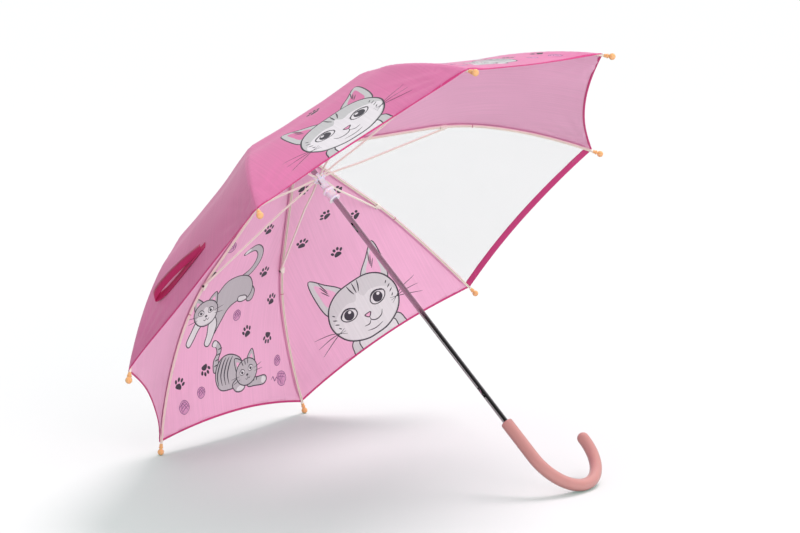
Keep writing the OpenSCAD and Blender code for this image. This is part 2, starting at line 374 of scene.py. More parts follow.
def addGroup(tree, group, **values):
    node = tree.nodes.new("ShaderNodeGroup")
    node.node_tree = group
    return feed(tree, node, values).outputs


def toned(tree, colour, tone):
    # colour, a socket or a value, times tone
    node = tree.nodes.new("ShaderNodeMix")
    node.data_type = "RGBA"
    node.blend_type = "MULTIPLY"
    return feed(tree, node, {"Factor": 1, "A": colour, "B": tone}).outputs["Result"]


def addMottle(tree, size, depth):
    place = tree.nodes.new("ShaderNodeTexCoord").outputs["Object"]
    return addGroup(tree, mottle, Place=place, Size=size, Depth=depth)


def addBump(tree, shader, height, strength, distance):
    bump = tree.nodes.new("ShaderNodeBump")
    feed(tree, bump, {"Height": height, "Strength": strength, "Distance": distance})
    feed(tree, shader, {"Normal": bump.outputs["Normal"]})


def makeCloth(name, colour=None, threads=1800, bump=0.12, sheen=0.2, roughness=0.62, specular=0.25):
    # woven cloth. With no colour given it takes the colour painted on the mesh: dye outside, and dye with
    # painted light coming through on the inner faces
    material, tree, shader = startMaterial(name, roughness)
    flat = tree.nodes.new("ShaderNodeUVMap")
    flat.uv_map = "flat"
    if colour is None:
        painted = tree.nodes.new("ShaderNodeAttribute")
        painted.attribute_name = "dyeAndLight"
        colour = painted.outputs["Color"]
    blotch = addMottle(tree, 9, 0.16)
    threadsUp = addGroup(tree, weave, Flat=flat.outputs["UV"], Threads=threads)
    tone = mathNode(tree, "MULTIPLY", blotch["Tone"], threadsUp["Slub"])
    feed(tree, shader, {
        "Base Color": toned(tree, colour, tone),
        "Specular IOR Level": specular,
        "Sheen Weight": sheen,
        "Sheen Roughness": 0.22,
    })
    addBump(tree, shader, threadsUp["Height"], bump, 0.0002)
    return material


def makeMoulded(name, colour, roughness=0.25, coat=0.0, milky=0.0, size=40, depth=0.06, bump=0.05):
    # moulded plastic or paint: faint mottling, a fine skin, and dulled fine scratches
    material, tree, shader = startMaterial(name, roughness)
    blotch = addMottle(tree, size, depth)
    feed(tree, shader, {
        "Base Color": toned(tree, shade(colour), blotch["Tone"]),
        "Roughness": mathNode(tree, "MULTIPLY", blotch["Fine"], roughness),
        "Coat Weight": coat,
        "Coat Roughness": 0.12,
        "Subsurface Weight": milky,
        "Subsurface Scale": 0.004,
    })
    addBump(tree, shader, blotch["Fine"], bump, 0.0005)
    return material


def makeMetal(name, colour, roughness, depth=0.5):
    material, tree, shader = startMaterial(name, roughness)
    blotch = addMottle(tree, 60, depth)
    feed(tree, shader, {
        "Base Color": toned(tree, shade(colour), blotch["Fine"]),
        "Roughness": mathNode(tree, "MULTIPLY", blotch["Fine"], roughness),
        "Metallic": 1,
    })
    return material


def makeFilm(name):
    # clear soft film: mostly see-through, with a soft gloss and faint ripples
    material, tree, shader = startMaterial(name, 0.16)
    blotch = addMottle(tree, 14, 0.3)
    colour = toned(tree, shade("B9B9BC"), blotch["Tone"])
    feed(tree, shader, {"Base Color": colour, "Alpha": 0.13, "IOR": 1.45})
    addBump(tree, shader, blotch["Tone"], 0.1, 0.004)
    return material


coverCloth = makeCloth("coverCloth", sheen=0.12, roughness=0.46, specular=0.5)
strapCloth = makeCloth("strapCloth", shade("B8245F"), threads=1100, bump=0.3, sheen=0.35)
# the seam allowance is painted as light as the cover's inner face: painted light coming through the cloth
seamCloth = makeCloth("seamCloth", shade("E69CC3"), threads=1500, bump=0.2)
threadPink = makeMoulded("threadPink", "C2487C", roughness=0.7)
clearFilm = makeFilm("clearFilm")
chrome = makeMetal("chrome", "BDB9BC", 0.09, depth=0.12)
steelWire = makeMetal("steelWire", "A5A4A6", 0.3)
darkRivet = makeMetal("darkRivet", "4A4446", 0.35)
frostedPlastic = makeMoulded("frostedPlastic", "F4ECF4", roughness=0.34, coat=0.15, milky=0.4)
creamPaint = makeMoulded("creamPaint", "EFE6DA", roughness=0.4, coat=0.1)
peachPlastic = makeMoulded("peachPlastic", "EBB27A", roughness=0.3, coat=0.3, milky=0.2)
handlePlastic = makeMoulded("handlePlastic", "C08884", roughness=0.3, coat=0.4, milky=0.05)

nodeFinish = {
    "shaft": chrome, "handle": handlePlastic, "ferrule_cap": peachPlastic, "crown": frostedPlastic,
    "crown_wire": steelWire, "runner": frostedPlastic, "runner_wire": steelWire,
    "top_catch": steelWire, "bottom_catch": steelWire, "strap_snap": steelWire,
    "rib": creamPaint, "tip": peachPlastic, "rib_clip": creamPaint, "stretcher": creamPaint,
    "rivet": darkRivet,
}
for nodeName, node in frame["nodes"].items():
    finish = nodeFinish.get(nodeName) or nodeFinish.get(nodeName.rsplit("_", 1)[0])
    if finish:
        node.data.materials.clear()
        node.data.materials.append(finish)
print("materials made")

# the printed pattern, drawn flat in millimetres
inkAndLitInside = {                         # print colours on the outer face, and on the inner one, which is painted lighter: painted light coming through the cloth
    "cloth": ("D16F9F", "ECB0D0"),
    "grey": ("BCBBBD", "BAB5BA"),
    # the face's grey: the same as the cats' grey outside, painted lighter inside as if the face were better
    # lit
    "litFaceGrey": ("BCBBBD", "D0CDD0"),
    "dark": ("37333E", "3B3541"),
    "white": ("DCD7DC", "DEDBDE"),
    "pink": ("D98AAE", "EDB0CE"),
    "mauve": ("84497A", "7C4A78"),
    "yarn": ("C886AE", "D394BD"),
}
cutEdge = "CB4F84"
lineWidth = 1.7


def smoothLine(points, closed=False, steps=5):
    # a curve through the points
    p = np.asarray(points, float)
    if closed:
        p = np.vstack((p[-1], p, p[0], p[1]))
    else:
        p = np.vstack((2 * p[0] - p[1], p, 2 * p[-1] - p[-2]))
    t = np.linspace(0, 1, steps, endpoint=False)[:, None]
    runs = [
        0.5 * (2 * b + (c - a) * t + (2 * a - 5 * b + 4 * c - d) * t**2 + (3 * b - a - 3 * c + d) * t**3)
        for a, b, c, d in zip(p, p[1:], p[2:], p[3:])
    ]
    line = np.vstack(runs)
    return line if closed else np.vstack((line, p[-2]))


def grow(outline, by):
    # the closed outline moved outward
    ahead = np.roll(outline, -1, 0) - np.roll(outline, 1, 0)
    normal = np.column_stack((ahead[:, 1], -ahead[:, 0]))
    normal /= np.maximum(np.linalg.norm(normal, axis=1), 1e-9)[:, None]
    x, y = outline.T
    turns = np.sign(np.sum(x * np.roll(y, -1) - np.roll(x, -1) * y))
    return outline + normal * by * turns


def spun(points, degrees, size=1):
    # points turned about the middle of their drawing, and scaled
    c, n = math.cos(math.radians(degrees)) * size, math.sin(math.radians(degrees)) * size
    x, y = np.asarray(points, float).T
    return np.column_stack((x * c - y * n, x * n + y * c))


def oval(x, y, rx, ry, turn=0, count=18):
    a = np.linspace(0, 2 * math.pi, count, endpoint=False)
    return spun(np.column_stack((rx * np.cos(a), ry * np.sin(a))), turn) + (x, y)


def fill(colour, points):
    return [(colour, smoothLine(points, closed=True))]


def outlined(colour, outline, width=lineWidth):
    # a shape filled with a colour inside a dark line
    return [("dark", grow(outline, width / 2)), (colour, grow(outline, -width / 2))]


def shape(colour, points, width=lineWidth):
    return outlined(colour, smoothLine(points, closed=True), width)


def line(points, width=lineWidth, colour="dark", taper=0.35):
    # a drawn line that thins towards its ends
    run = smoothLine(points)
    ahead = np.gradient(run, axis=0)
    normal = np.column_stack((-ahead[:, 1], ahead[:, 0])) / np.linalg.norm(ahead, axis=1)[:, None]
    along = np.linspace(-1, 1, len(run))
    half = width / 2 * (1 - (1 - taper) * along**2)
    return [(colour, np.vstack((run + normal * half[:, None], (run - normal * half[:, None])[::-1])))]


def mirrored(points):
    return [(-x, y) for x, y in points]


def bothSides(draw, points, *rest):
    return draw(*rest, points) + draw(*rest, mirrored(points))


def place(shapes, x, s, size=1, turn=0):
    # shapes put on the panel: x across it, s along the rib; up in the drawing is up the rib
    return [(colour, spun(o, turn, size) * (1, -1) + (x, s)) for colour, o in shapes]


def put(shapes, x, y, turn=0):
    # a drawing set inside another drawing
    return [(colour, spun(o, turn) + (x, y)) for colour, o in shapes]


def pawPrint():
    toes = [(-7.2, 1.0, 26), (-2.9, 5.6, 8), (2.9, 5.8, -8), (7.3, 1.4, -26)]
    pad = [
        (-5.4, -7), (-5.2, -3), (-2.4, -0.4), (0, 0.6), (2.4, -0.4), (5.2, -3), (5.4, -7), (2, -8), (-2, -8),
    ]
    return fill("dark", pad) + [("dark", oval(x, y, 2.2, 3.4, a, 14)) for x, y, a in toes]


def yarnBall(r=7):
    drawn = [("mauve", oval(0, 0, r, r * 1.1)), ("yarn", oval(0, 0, r - 0.9, r * 1.1 - 0.9))]
    for lean, bend in ((-50, 0.5), (-50, 0.1), (35, 0.45), (35, 0), (35, -0.4), (80, 0.3)):
        a = np.linspace(-0.8, 0.8, 5) * r
        arc = np.column_stack((a, bend * r + 0.16 * r * np.cos(a / r * 1.6)))
        drawn += line(spun(arc, lean), 0.95, "mauve")
    return drawn


def catEyes(x, y, r, width=lineWidth, iris=0.6):
    drawn = []
    for side in (-1, 1):
        drawn += outlined("white", oval(side * x, y, r, r * 0.78, side * 14), width)
        drawn += [("dark", oval(side * x, y, r * iris, r * iris * 1.13))]
        drawn += [("white", oval(side * x + r * 0.2, y + r * 0.3, r * 0.2, r * 0.2, 0, 8))]
        lid = np.array([(-1.02, 0.05), (-0.5, 0.72), (0.2, 0.82), (1.02, 0.3)]) * r + (side * x, y)
        drawn += line(lid, width * 1.6)
    return drawn


def catFace():
    # a round cat's face looking straight out, over a white chest
    drawn = shape("litFaceGrey", [(-34, -36), (-46, -58), (-52, -90), (52, -90), (46, -58), (34, -36)])
    drawn += shape("white", [(-26, -40), (-32, -60), (-34, -92), (34, -92), (32, -60), (26, -40)])
    drawn += bothSides(shape, [(-52, 20), (-58, 56), (-55, 92), (-36, 72), (-16, 46), (-30, 20)], "litFaceGrey")
    drawn += bothSides(fill, [(-46, 34), (-50, 58), (-50, 80), (-38, 66), (-27, 47)], "cloth")
    drawn += shape("litFaceGrey", [
        (0, 50), (26, 47), (46, 32), (56, 8), (54, -14), (42, -34), (20, -46),
        (0, -48), (-20, -46), (-42, -34), (-54, -14), (-56, 8), (-46, 32), (-26, 47),
    ], 2.2)
    drawn += fill("white", [
        (0, 30), (7, 18), (20, 21), (38, 14), (53, -2), (50, -18), (39, -33), (19, -44.5),
        (0, -46.5), (-19, -44.5), (-39, -33), (-50, -18), (-53, -2), (-38, 14), (-20, 21), (-7, 18),
    ])
    drawn += catEyes(25, 3, 13)
    drawn += shape("pink", [(-5, -12), (0, -11), (5, -12), (0, -18)])
    drawn += line([(0, -18), (1, -24), (8, -28), (17, -26), (22, -19)], 1.8)
    drawn += line([(0, -23), (-5, -28), (-13, -27)], 1.6)
    drawn += line([(-12, -36), (0, -39), (14, -37)], 1.5)
    for lean in (-1, 0, 1):
        drawn += line([(lean * 9, 48), (lean * 7, 38), (lean * 4, 29)], 2)
    for side in (-1, 1):
        for y in (-6, 2, 10, 18):
            drawn += line([(side * (51 - abs(y - 6) * 0.3), y), (side * 44, y - 4)], 1.8)
        for lean in (-1, 0, 1):
            drawn += line([(side * 40, -16 - lean * 5), (side * 62, -14 + lean * 6),
                           (side * 88, -18 + lean * 15)], 1.2)
            drawn += line([(side * (44 + lean), 72 - lean * 8), (side * 37, 54 - lean * 4)], 1.6)
    return drawn


def smallFace(r, colour):
    # a little head for the whole cats, r its radius
    drawn = []
    for side in (-1, 1):
        drawn += shape(colour, np.array([(side * 0.95, 0.1), (side, 1.45), (side * 0.2, 0.8)]) * r)
        drawn += fill("cloth", np.array([(side * 0.8, 0.5), (side * 0.86, 1.1), (side * 0.45, 0.8)]) * r)
    drawn += outlined(colour, oval(0, 0, 1.15 * r, r, 0, 24))
    if colour == "grey":
        muzzle = [(0, 0.5), (0.5, 0), (0.95, -0.2), (0.6, -0.8), (-0.6, -0.8), (-0.95, -0.2), (-0.5, 0)]
        drawn += fill("white", np.array(muzzle) * r)
    drawn += catEyes(0.46 * r, 0.12 * r, 0.27 * r, 0.9, 0.45)
    drawn += [("dark", oval(0, -0.25 * r, 0.13 * r, 0.09 * r, 0, 8))]
    for side in (-1, 1):
        drawn += line(np.array([(side * 0.3, -0.45), (side * 0.12, -0.56), (0, -0.4)]) * r, 1.1)
    for side in (-1, 1):
        for lift in (0, 0.25):
            drawn += line([(side * 0.8 * r, (lift - 0.3) * r), (side * 1.7 * r, (lift * 1.8 - 0.4) * r)], 0.9)
    return drawn


def leapingCat():
    # a grey cat that springs forward, with a white face, feet and tail tip
    drawn = shape("grey", [(22, 24), (36, 34), (44, 52), (40, 72), (24, 82), (6, 72), (4, 66),
                           (22, 72), (32, 64), (33, 50), (27, 38), (14, 28)])
    drawn += fill("white", [(14, 76.5), (6, 72), (4.6, 66.6), (12, 70.5)])
    drawn += shape("grey", [(38, 12), (52, 0), (50, -14), (40, -16), (34, -4)])
    drawn += shape("grey", [(-26, 6), (-12, 24), (12, 30), (34, 24), (46, 6), (40, -10), (20, -12),
                            (2, -22), (-14, -46), (-24, -58), (-34, -44), (-36, -16)])
    drawn += shape("white", [(20, -6), (34, -6), (38, -12), (28, -15), (20, -13)])
    for leg in (
        [(-24, -30), (-18, -44), (-26, -66), (-33, -74), (-40, -70), (-36, -56), (-34, -36)],
        [(-44, -34), (-54, -46), (-62, -60), (-70, -70), (-76, -64), (-68, -48), (-56, -28)],
    ):
        drawn += shape("white", leg)
    return drawn + put(smallFace(20, "grey"), -43, -22, 12)


def curledCat():
    # a striped cat lying on its side with one paw stretched out
    drawn = shape("grey", [(-22, 8), (-25, 20), (-19, 34), (-23, 44), (-33, 50), (-38, 43), (-30, 39),
                           (-28, 30), (-35, 18), (-34, 2)])
    drawn += fill("white", [(-28, 47), (-33, 49), (-37, 43), (-31, 40)])
    drawn += shape("grey", [(-16, 22), (2, 24), (22, 14), (28, -6), (20, -24), (-4, -28), (-22, -25),
                            (-31, -8), (-28, 10)])
    for x in (-24, -17, -10, -3):
        drawn += line([(x, -20), (x - 3, -4), (x + 2, 12), (x + 8, 21)], 2.4)
    drawn += shape("grey", [(38, -16), (56, -20), (74, -20), (79, -27), (72, -33), (52, -32), (36, -30)])
    drawn += fill("white", [(69, -22), (75, -23), (77, -28), (71, -31.5), (67, -29)])
    for x in (46, 52, 58):
        drawn += line([(x, -18.5), (x - 2, -25)], 2)
    drawn += shape("grey", [(18, -14), (28, -22), (30, -30), (22, -35), (10, -33), (4, -22)])
    drawn += fill("white", [(15, -28), (25, -25), (28, -30), (21, -33.5), (12, -32)])
    for x, y in ((-21, 36), (-24, 28), (-27, 20), (-29, 12)):
        drawn += line([(x - 5, y - 1), (x, y + 0.5), (x + 4, y + 1)], 1.8)
    drawn += put([(c, o) for c, o in smallFace(20, "grey") if c != "white" or len(o) < 20], 35, -8, 14)
    for x in (-5, 0, 5):
        drawn += put(line([(x * 1.4, 19), (x, 11)], 1.9), 35, -8, 14)
    return drawn


def playPanel():
    drawn = []
    for x, s, turn in ((15, 133, 15), (44, 213, 20), (76, 263, 10), (28, 305, 25), (76, 323, 170),
                       (-57, 348, 205), (-107, 360, -20), (-71, 198, 60)):
        drawn += place(pawPrint(), x, s, 1, turn)
    for x, s, r in ((3, 276, 8), (99, 362, 7.6), (-66, 380, 8), (-51, 155, 8.5), (-100, 395, 9.5)):
        drawn += place(yarnBall(r), x, s)
    drawn += place(yarnBall(11), 108, 391, 1, 40)
    drawn += place(line([(-24, 2), (-20, 6), (-16, -1), (-12, 4), (-8, 0)], 1.8, "mauve"), 108, 391)
    drawn += place(leapingCat(), -20, 240)
    return drawn + place(curledCat(), -6, 358)


def facePanel():
    drawn = []
    for x, s, turn in ((-11, 84, 200), (34, 130, 60), (5, 163, 25),
                       (-41, 191, -25), (0, 250, 0), (45, 205, 40)):
        drawn += place(pawPrint(), x, s, 1, turn)
    return drawn + place(catFace(), -2, 361)


prints = {1: playPanel(), 2: facePanel(), 5: playPanel(), 6: facePanel()}
sheets = {"seamStep": 3.2, "gridStep": 6.4, "edgeRows": (1.3, 3.0, 5.6), "hemStops": 90}


def insideOf(outline, points):
    # which points lie inside the closed outline
    x, y = points.T
    inside = np.zeros(len(points), bool)
    near = np.flatnonzero((x >= outline[:, 0].min()) & (x <= outline[:, 0].max())
                          & (y >= outline[:, 1].min()) & (y <= outline[:, 1].max()))
    if not len(near):
        return inside
    px, py = x[near], y[near]
    hit = np.zeros(len(near), bool)
    for (ax, ay), (bx, by) in zip(outline, np.roll(outline, -1, 0)):
        if ay == by:
            continue
        crosses = (ay > py) != (by > py)
        hit ^= crosses & (px < (bx - ax) * (py - ay) / (by - ay) + ax)
    inside[near] = hit
    return inside


seamRows = np.linspace(canopy["from"], skinTo, int((skinTo - canopy["from"]) / sheets["seamStep"]))


def panelEdge(k):
    # the flat outline of panel k: one seam down, the hem, the other seam up
    half = halfChord(seamRows)
    u = np.linspace(0, 1, sheets["hemStops"])[1:-1]
    ends = hemEnd(k, u)
    hem = np.column_stack(((2 * u - 1) * halfChord(ends), ends))
    return np.vstack((np.column_stack((-half, seamRows)), hem, np.column_stack((half, seamRows))[::-1]))


def gridInside(k):
    # even points inside the panel, with closer rows beside its seams
    points = []
    for s in seamRows[1:-1]:
        half = halfChord(s)
        for inset in sheets["edgeRows"]:
            if half > inset + 1 and s < hemEnd(k, inset / (2 * half)) - 2:
                points += [(-half + inset, s), (half - inset, s)]
    step = sheets["gridStep"]
    for j, s in enumerate(np.arange(canopy["from"] + 5, skinTo, step * 0.87)):
        half = halfChord(s)
        reach = half - sheets["edgeRows"][-1] - 3
        for x in np.arange(-math.floor(reach / step) * step, reach, step) if reach > 0 else ():
            x += (j % 2) * step / 2
            if abs(x) < reach and s < hemEnd(k, x / (2 * half) + 0.5) - 3:
                points.append((x, s))
    return points


def cutPanel(k):
    # cuts panel k flat with its print
    edge = panelEdge(k)
    shapes = prints.get(k, [])
    points, links = [], []
    for outline in [edge] + [o for _, o in shapes]:
        first, count = len(points), len(outline)
        points += [tuple(p) for p in outline]
        links += [(first + i, first + (i + 1) % count) for i in range(count)]
    points += gridInside(k)
    flat, _, cells, *_ = delaunay_2d_cdt([Vector(p) for p in points], links, [], 0, 1e-3)
    flat = np.array([tuple(p) for p in flat])
    cells = np.array([c for c in cells if len(c) == 3])
    middle = flat[cells].mean(1)
    keep = insideOf(edge, middle)
    cells, middle = cells[keep], middle[keep]
    a, b, c = (flat[cells[:, i]] for i in range(3))
    area = ((b - a)[:, 0] * (c - a)[:, 1] - (b - a)[:, 1] * (c - a)[:, 0]) / 2
    cells[area < 0] = cells[area < 0][:, ::-1]
    cells, middle, area = (v[np.abs(area) > 1e-6] for v in (cells, middle, area))
    dyeAndLight = np.full(len(cells), "cloth", dtype=object)
    for colour, outline in shapes:
        dyeAndLight[insideOf(outline, middle)] = colour
    used = np.unique(cells)
    index = np.zeros(len(flat), int)
    index[used] = np.arange(len(used))
    flat, cells = flat[used], index[cells]
    return flat, cells, dyeAndLight, np.abs(area).sum() * mm * mm


def sewPanel(k):
    flat, cells, dyeAndLight, area = cutPanel(k)
    s = flat[:, 1]
    u = np.clip(flat[:, 0] / (2 * halfChord(s)) + 0.5, 0, 1)
    lift = ripple(k, s, u)
    half = canopy["cloth"] / 2
    both = np.vstack((onSkin(s, u, lift + half), onSkin(s, u, lift - half)))
    both += np.tile(puffOut(k, s, u), (2, 1))
    n = len(flat)
    pairs = np.vstack((cells[:, [0, 1]], cells[:, [1, 2]], cells[:, [2, 0]]))
    _, first, count = np.unique(np.sort(pairs, 1), axis=0, return_index=True, return_counts=True)
    rim = pairs[first[count == 1]]
    faces = [tuple(f) for f in cells] + [tuple(f[::-1] + n) for f in cells]
    faces += [(b, a, a + n, b + n) for a, b in rim]
    piece = addMesh(f"cover_{k}", toRow(k, both), faces)
    sizes = [3] * (2 * len(cells)) + [4] * len(rim)
    # the inner faces get the lighter colours: painted light coming through the cloth
    outside, inside = (np.array([shade(inkAndLitInside[colour][face]) for colour in dyeAndLight]) for face in (0, 1))
    faceDyeAndLight = np.vstack((outside, inside, np.tile(shade(cutEdge), (len(rim), 1))))
    layer = piece.data.color_attributes.new("dyeAndLight", "FLOAT_COLOR", "CORNER")
    layer.data.foreach_set("color", np.repeat(faceDyeAndLight, sizes, 0).astype(np.float32).ravel())
    cloth = piece.data.uv_layers.new(name="flat")
    corners = np.concatenate([np.array(f) for f in faces]) % n
    cloth.data.foreach_set("uv", (flat[corners] * mm).astype(np.float32).ravel())
    piece.data.materials.append(clearFilm if k == 3 else coverCloth)
    return piece, area


# strips laid on the cover and the ribs
def addTube(parts, rings):
    # adds a closed tube through rings of points to parts, a pair of lists
    points, faces = parts
    rings = np.asarray(rings)
    rows, around, _ = rings.shape
    base = len(points)
    points.extend(rings.reshape(-1, 3))
    for i in range(rows - 1):
        for j in range(around):
            a, b = base + i * around + j, base + i * around + (j + 1) % around
            faces.append((a, b, b + around, a + around))
    faces.append(tuple(base + j for j in reversed(range(around))))
    faces.append(tuple(base + (rows - 1) * around + j for j in range(around)))


def addStrip(name, parts, material, slotName, smooth=True):
    # a piece from parts, with normals out, a flat map for the weave, and material
    piece = addMesh(name, *parts, smooth)
    made = bmesh.new()
    made.from_mesh(piece.data)
    bmesh.ops.recalc_face_normals(made, faces=made.faces)
    flat = made.loops.layers.uv.new("flat")
    for face in made.faces:
        for corner in face.loops:
            corner[flat].uv = (corner.vert.co.x + corner.vert.co.y * 0.3, corner.vert.co.z)
    made.to_mesh(piece.data)
    made.free()
    piece.data.materials.append(material)
    return piece


hem = {
    "width": 2.4,
    "bandWidth": 9,             # of the band on the clear panel
    "ends": 0.004,              # share of the hem left free beside a seam
    "rows": 110,
    "stitch": 2.2,
    "stitchGap": 3.4,
    "arch": 0.13,               # rise of a stitch between its ends
    "lifts": (0.46, -0.68),     # of the outer and the inner row
}


def hemWidth(k):
    return hem["bandWidth"] if k == 3 else hem["width"]


def hemSection(width):
    # across the folded hem: distance in from the edge, and lift off the cover
    inward = (-0.7, -0.4, 0.6, width - 0.5, width, width, width - 0.5, 0.6, -0.4)
    lift = (-0.1, 0.3, 0.42, 0.38, 0.2, -0.45, -0.62, -0.7, -0.5)
    return np.array(inward), np.array(lift)


def skinLift(k, s, u, lift):
    # places on the wrinkled cover
    s, u, lift = (np.array(v, float).ravel() for v in np.broadcast_arrays(s, u, lift))
    return onSkin(s, u, lift + ripple(k, s, np.clip(u, 0, 1))) + puffOut(k, s, u)


def addHem(k):
    inward, lift = hemSection(hemWidth(k))
    parts = ([], [])
    along = np.linspace(hem["ends"], 1 - hem["ends"], hem["rows"])
    rings = [toRow(k, skinLift(k, hemEnd(k, u) - inward, u, lift)) for u in along]
    addTube(parts, rings)
    finish = (bandCloth, "strap_magenta") if k == 3 else (hemCloth, "cover_pink")
    piece = addStrip(f"hem_{k}", parts, *finish)
    followPanel(piece, k)
    return piece


def addStitches(k):
    # rows of short thread stitches through the hem, on both faces
    run = 2 * halfChord(skinTo)
    parts = ([], [])
    for side, lift in zip((1, -1), hem["lifts"]):
        for x in np.arange(8, run - 8, hem["stitchGap"]):
            u = (x + np.linspace(-0.5, 0.5, 4) * hem["stitch"]) / run
            arch = np.array([0, hem["arch"], hem["arch"], 0]) * side
            rings = []
            for across, up in ((0.16, 0), (0, 0.14), (-0.16, 0), (0, -0.14)):
                inward = hemWidth(k) - 0.9 + across
                rings.append(toRow(k, skinLift(k, hemEnd(k, u) - inward, u, lift + arch + up)))
            addTube(parts, np.array(rings).transpose(1, 0, 2))
    piece = addStrip(f"hem_stitch_{k}", parts, threadPink, "strap_magenta")
    followPanel(piece, k)
    return piece


def addSeam(k):
    # the seam allowance inside the cover, folded to one side of rib k
    lean = -1 if k == 4 else 1
    across = np.array([-1.9, 0, 2.4, 4.0, 4.0, 2.4, 0, -1.9]) * lean
    lift = np.array([1.3, 1.62, 1.3, 0.8, 0.5, 1.05, 1.36, 1.05])
    parts = ([], [])
    rows = np.arange(16, skinTo - 2, 4)
    waver = 0.2 * np.sin(rows * 0.5 + k) - 0.1
    fall = math.tan(halfStep) * np.sin(slopeAt(rows)) * 0.75
    fade = np.clip((rows - 10) / 30, 0.15, 1) * np.clip((skinTo - rows) / 20, 0.4, 1)
    rings = [
        toRow(k, onRib(s, across * f, lift + puffAt(k, s) - drop * np.abs(across) + r * (np.abs(across) > 3)))
        for s, r, f, drop in zip(rows, waver, fade, fall)
    ]
    addTube(parts, rings)
    piece = addStrip(f"seam_{k}", parts, seamCloth, "strap_magenta")
    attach(piece, f"rib_{k}")
    return piece


# the hem is a deeper pink than the cover: painted shade along its folded edge; the rosette uses the same
# cloth
hemCloth = makeCloth("hemCloth", shade("CB4480"), threads=1700, bump=0.2)
bandCloth = makeCloth("bandCloth", shade("C2417A"), threads=1200, bump=0.3, sheen=0.3)

seams = {k: addSeam(k) for k in range(1, ribCount + 1)}
for k in range(1, ribCount + 1):
    piece, area = sewPanel(k)
    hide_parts(f"panel_{k}")
    followPanel(piece, k)
    trim = [addHem(k), addStitches(k), seams[k]]
    print("panel", k, "area", round(float(area), 4), "faces", len(piece.data.polygons))
print("cover sewn")


# closing strap on panel 7
strap = {
    "at": 362,
    "width": 10,
    "thick": 0.8,
    "down": [(0.42, 0.7), (0.46, 1.4), (0.54, 2.0), (0.62, 2.0), (0.7, 1.8), (0.76, 2.4)],
    "loop": [(0.805, 4.4), (0.822, 7.2), (0.805, 10.0)],
    "back": [(0.75, 11.4), (0.67, 11.0), (0.59, 8.8), (0.53, 6.0), (0.48, 3.8), (0.45, 2.6)],
    "twist": ((0, 0.2, 0.45, 0.6, 0.85, 1), (4, 8, 18, 34, 34, 16)),    # share of the run, degrees
    "stray": (2.2, 4.4),        # how far it strays along the rib, and how many radians of a wave
    "snapAt": 0.74,             # share of the run
}
strapReach = 2 * float(halfChord(strap["at"]))


def strapLine():
    run = smoothLine([(u * strapReach, h) for u, h in strap["down"] + strap["loop"] + strap["back"]], steps=6)
    ahead = np.gradient(run, axis=0)
    return run, ahead / np.linalg.norm(ahead, axis=1)[:, None]


def addStrap():
    run, ahead = strapLine()
    normal = np.column_stack((-ahead[:, 1], ahead[:, 0]))
    thick, wide = strap["thick"] / 2, strap["width"] / 2
    section = [(-wide, -thick), (-wide, thick), (-wide + 1.4, thick * 0.75), (0, thick),
               (wide - 1.4, thick * 0.75), (wide, thick), (wide, -thick), (0, -thick)]
    stray, waves = strap["stray"]
    rings = []
    for i, ((x, h), (nx, nh)) in enumerate(zip(run, normal)):
        share = i / (len(run) - 1)
        turn = math.radians(np.interp(share, *strap["twist"]))
        ring = []
        for t, d in section:
            s = strap["at"] + t * math.cos(turn) + stray * math.sin(share * waves)
            u = (x + d * nx) / strapReach
            height = h + d * nh - t * math.sin(turn)
            ring.append(onSkin(s, u, height) + puffOut(7, np.array(s), np.array(u)))
        rings.append(toRow(7, np.array(ring)))
    parts = ([], [])
    addTube(parts, rings)
    piece = addStrip("closing_strap", parts, strapCloth, "strap_magenta")
    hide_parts("strap")
    followPanel(piece, 7)
    return rings


strapRings = addStrap()
print("strap made")


# turned and moulded pieces
def turned(name, rings, material, around=28):
    # a round piece about the Z axis, drawn out ring by ring; each ring is its height and radius
    bpy.ops.object.select_all(action="DESELECT")
    height, radius = (v * mm for v in rings[0])
    bpy.ops.mesh.primitive_circle_add(
        vertices=around, radius=radius, fill_type="NGON", location=(0, 0, height),
    )
    piece = bpy.context.object
    piece.name = name
    bpy.ops.object.transform_apply(location=True, rotation=True, scale=True)
    bpy.ops.object.mode_set(mode="EDIT")
    bpy.ops.mesh.select_mode(type="VERT")
    bpy.ops.mesh.select_all(action="SELECT")
    for z, r in rings[1:]:
        z, r = z * mm, r * mm
        bpy.ops.mesh.extrude_region_move(TRANSFORM_OT_translate={"value": (0, 0, z - height)})
        bpy.ops.transform.resize(value=(r / radius, r / radius, 1), center_override=(0, 0, z))
        height, radius = z, r
    bpy.ops.mesh.select_all(action="SELECT")
    bpy.ops.mesh.normals_make_consistent(inside=False)
    bpy.ops.object.mode_set(mode="OBJECT")
    bpy.ops.object.shade_smooth_by_angle(angle=math.radians(38))
    piece.data.materials.append(material)
    return piece


def setInPlace(piece, spot, axis):
    # stands the piece's Z axis along axis at spot, with the place kept in its mesh
    bpy.ops.object.select_all(action="DESELECT")
    piece.select_set(True)
    bpy.context.view_layer.objects.active = piece
    piece.rotation_euler = Vector(axis).to_track_quat("Z", "Y").to_euler()
    piece.location = spot
    bpy.ops.object.transform_apply(location=True, rotation=True, scale=True)
    return piece


tip = {
    "neck": [(-11, 1.7), (-10.9, 2.15), (-10.3, 2.35), (-7.2, 2.4), (-6.9, 2.95), (-6.2, 3.15), (-5.5, 2.95),
             (-5.2, 2.2), (-4.5, 1.95)],
    "ball": 4.4,
    "from": 150,                # where the ball leaves the neck, in degrees from its end
}


def addTip(k):
    swing = np.radians(np.linspace(tip["from"], 5, 13))
    ball = [(tip["ball"] * math.cos(a), tip["ball"] * math.sin(a)) for a in swing]
    piece = turned(f"tip_piece_{k}", tip["neck"] + ball, peachPlastic)
    out, _ = ribAxes(k)
    fall = math.radians(canopy["slopes"][2])
    axis = out * math.cos(fall) - upShaft * math.sin(fall)
    setInPlace(piece, toRow(k, onRib(ribLen, 0, 0)), axis)
    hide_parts(f"tip_{k}")
    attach(piece, f"rib_{k}")


tie = {"at": 258, "ring": 2.15, "thread": 0.42}


